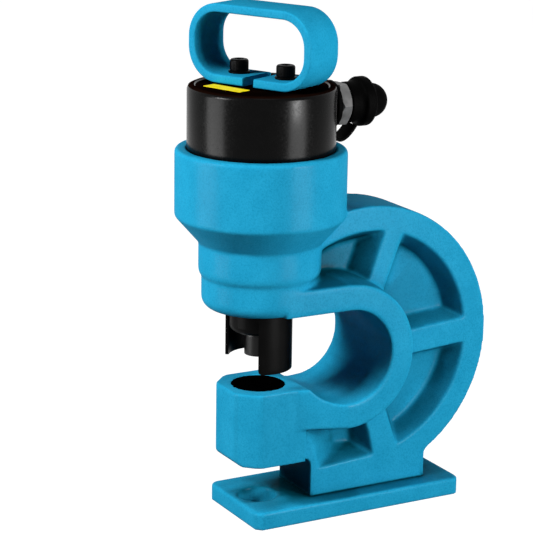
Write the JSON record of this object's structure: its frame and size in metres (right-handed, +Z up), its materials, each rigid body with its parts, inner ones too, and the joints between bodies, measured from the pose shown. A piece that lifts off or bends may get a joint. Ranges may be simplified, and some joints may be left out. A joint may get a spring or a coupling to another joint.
{
  "type": "hydraulic hole punch",
  "caption": "Bench hydraulic hole punch: cast C-frame on a foot plate, spring-return cylinder with punch, die and stripper, carrying handle and capped hose inlet.",
  "frame": {"origin": "punch axis where it meets the underside of the foot plate", "axes": "+Z up along the punch axis, +X from the punch toward the back of the frame, -X the open side of the throat"},
  "size_m": [0.2363, 0.1196, 0.3645],
  "materials": {
    "blue_paint": "satin enamel with a fine orange peel",
    "black_oxide": "oil-black steel",
    "gloss_black": "gloss",
    "ground_steel": "ground",
    "zinc_steel": "grey phosphate",
    "spring_steel": "oiled",
    "bronze": "turned",
    "bonded_seal": "plain washer with a rubber lip",
    "seal_rubber": "smooth",
    "guide_plastic": "filled plastic",
    "black_rubber": "moulded"
  },
  "bodies": {
    "press_frame": {"base_plate": "blue_paint", "base_screws": "black_oxide", "frame": "blue_paint", "die": "black_oxide", "die_set_screw": "black_oxide", "cylinder_body": "gloss_black", "cylinder_lock_screw": "black_oxide", "guide_bush": "bronze", "rod_wiper": "seal_rubber", "return_spring": "spring_steel", "stripper": "black_oxide", "stripper_screw": "black_oxide", "handle": "blue_paint", "handle_washers": "zinc_steel", "handle_bolts": "black_oxide", "port_seal": "bonded_seal", "inlet_adapter": "gloss_black", "coupler_body": "zinc_steel", "poppet_spring": "spring_steel", "nipple_seal": "seal_rubber", "cap_strap": "black_rubber"},
    "ram": {"piston": "ground_steel", "piston_seal": "seal_rubber", "piston_guide_ring": "guide_plastic", "ram_rod": "ground_steel", "ram_bolt": "black_oxide", "punch": "black_oxide", "punch_set_screw": "black_oxide"},
    "poppet": {"coupler_poppet": "zinc_steel"},
    "cap": {"dust_cap": "black_rubber"}
  },
  "joints": [
    {"name": "ram_stroke", "type": "slide", "parent": "press_frame", "child": "ram", "axis": [0, 0, -1], "range_m": [0, 0.025], "stiffness_N_per_m": 9000, "springref_m": -0.018, "deforming": ["return_spring"]},
    {"name": "poppet_press", "type": "slide", "parent": "press_frame", "child": "poppet", "axis": [-1, 0, 0], "range_m": [0, 0.003], "stiffness_N_per_m": 800, "springref_m": -0.002, "deforming": ["poppet_spring"]},
    {"name": "dust_cap_pull", "type": "slide", "parent": "press_frame", "child": "cap", "axis": [1, 0, 0], "range_m": [0, 0.03]}
  ]
}
